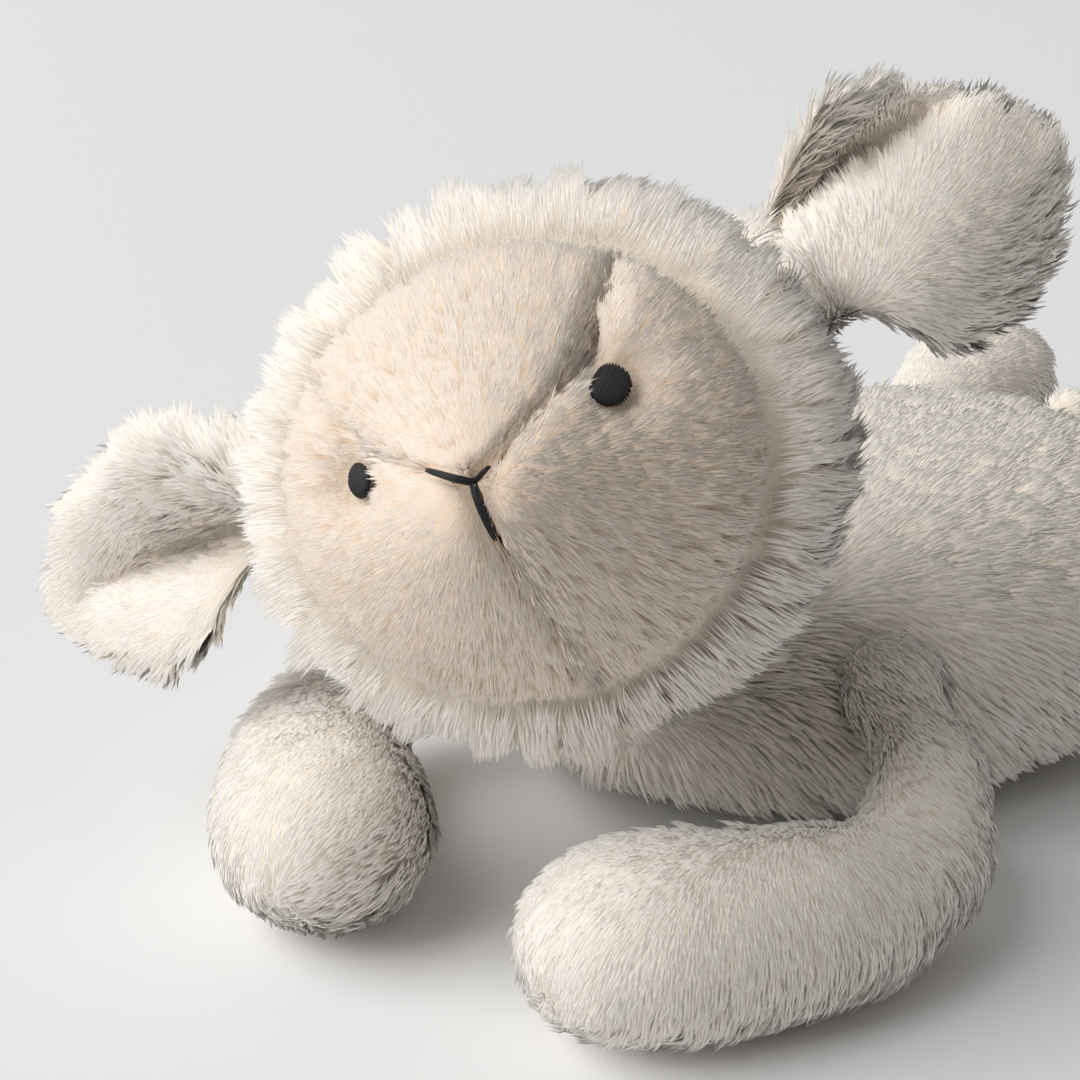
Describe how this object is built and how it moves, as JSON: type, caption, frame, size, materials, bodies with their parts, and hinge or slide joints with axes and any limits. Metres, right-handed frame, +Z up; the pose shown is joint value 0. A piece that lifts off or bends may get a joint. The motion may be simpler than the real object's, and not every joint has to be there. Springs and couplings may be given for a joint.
{
  "type": "plush sheep",
  "caption": "Plush sheep lying on its belly with its head lifted and turned: curly pile body, round short-pile face, stitched eyes and nose, soft sewn ears, legs and tail.",
  "frame": {"origin": "on the flat patch of the belly that the toy rests on, on the middle line of the body, below the middle of the trunk", "axes": "+Z up, -Y the way the body faces (nose end), +X the sheep's own left"},
  "size_m": [0.1723, 0.3148, 0.1309],
  "materials": {
    "wool": "dense curly wool-like pile, matt",
    "face_pile": "short soft pile, matt",
    "thread": "embroidered thread, low sheen",
    "stuffing": "loose polyester fibre",
    "bag_cloth": "plain woven cloth filled with plastic beads"
  },
  "bodies": {
    "body": {"belly_panel": "wool", "back_panel_left": "wool", "back_panel_right": "wool", "body_stuffing": "stuffing", "bead_bag": "bag_cloth"},
    "neck": {"neck": "wool"},
    "head": {"hood_left": "wool", "hood_right": "wool", "forehead_panel": "face_pile", "cheek_left": "face_pile", "cheek_right": "face_pile", "head_stuffing": "stuffing", "eye_left": "thread", "eye_right": "thread", "nose_and_mouth": "thread"},
    "ear_left": {"ear_left_back": "wool", "ear_left_front": "wool"},
    "ear_right": {"ear_right_back": "wool", "ear_right_front": "wool"},
    "foreleg_left": {"foreleg_left_skin": "wool", "foreleg_left_stuffing": "stuffing"},
    "foreleg_right": {"foreleg_right_skin": "wool", "foreleg_right_stuffing": "stuffing"},
    "hind_leg_left": {"hind_leg_left_skin": "wool", "hind_leg_left_stuffing": "stuffing"},
    "hind_leg_right": {"hind_leg_right_skin": "wool", "hind_leg_right_stuffing": "stuffing"},
    "tail": {"tail_skin": "wool", "tail_stuffing": "stuffing"}
  },
  "joints": [
    {"name": "neck_turn", "type": "hinge", "parent": "body", "child": "neck", "pos_m": [0.002, -0.058, 0.047], "axis": [0, 0, 1], "range_deg": [-25, 30]},
    {"name": "neck_nod", "type": "hinge", "parent": "neck", "child": "head", "pos_m": [0.002, -0.058, 0.047], "axis": [0.9191, 0.3939, 0], "range_deg": [-20, 4]},
    {"name": "ear_left_flop", "type": "hinge", "parent": "head", "child": "ear_left", "pos_m": [0.03496, -0.07179, 0.10277], "axis": [-0.3692, 0.8615, -0.3486], "range_deg": [-25, 25], "stiffness_Nm_per_rad": 0.01},
    {"name": "ear_right_flop", "type": "hinge", "parent": "head", "child": "ear_right", "pos_m": [-0.03556, -0.11661, 0.06672], "axis": [0.3692, -0.8615, 0.3486], "range_deg": [-30, 10], "stiffness_Nm_per_rad": 0.01},
    {"name": "foreleg_left_swing", "type": "hinge", "parent": "body", "child": "foreleg_left", "pos_m": [0.042, -0.05, 0.031], "axis": [0, 0, 1], "range_deg": [0, 35]},
    {"name": "foreleg_right_swing", "type": "hinge", "parent": "body", "child": "foreleg_right", "pos_m": [-0.042, -0.05, 0.031], "axis": [0, 0, -1], "range_deg": [0, 35]},
    {"name": "hind_leg_left_swing", "type": "hinge", "parent": "body", "child": "hind_leg_left", "pos_m": [0.034, 0.076, 0.022], "axis": [0, 0, -1], "range_deg": [0, 45]},
    {"name": "hind_leg_right_swing", "type": "hinge", "parent": "body", "child": "hind_leg_right", "pos_m": [-0.034, 0.076, 0.022], "axis": [0, 0, 1], "range_deg": [0, 45]},
    {"name": "tail_wag", "type": "hinge", "parent": "body", "child": "tail", "pos_m": [0, 0.094, 0.029], "axis": [0, 0, 1], "range_deg": [-18, 18], "stiffness_Nm_per_rad": 0.01}
  ]
}
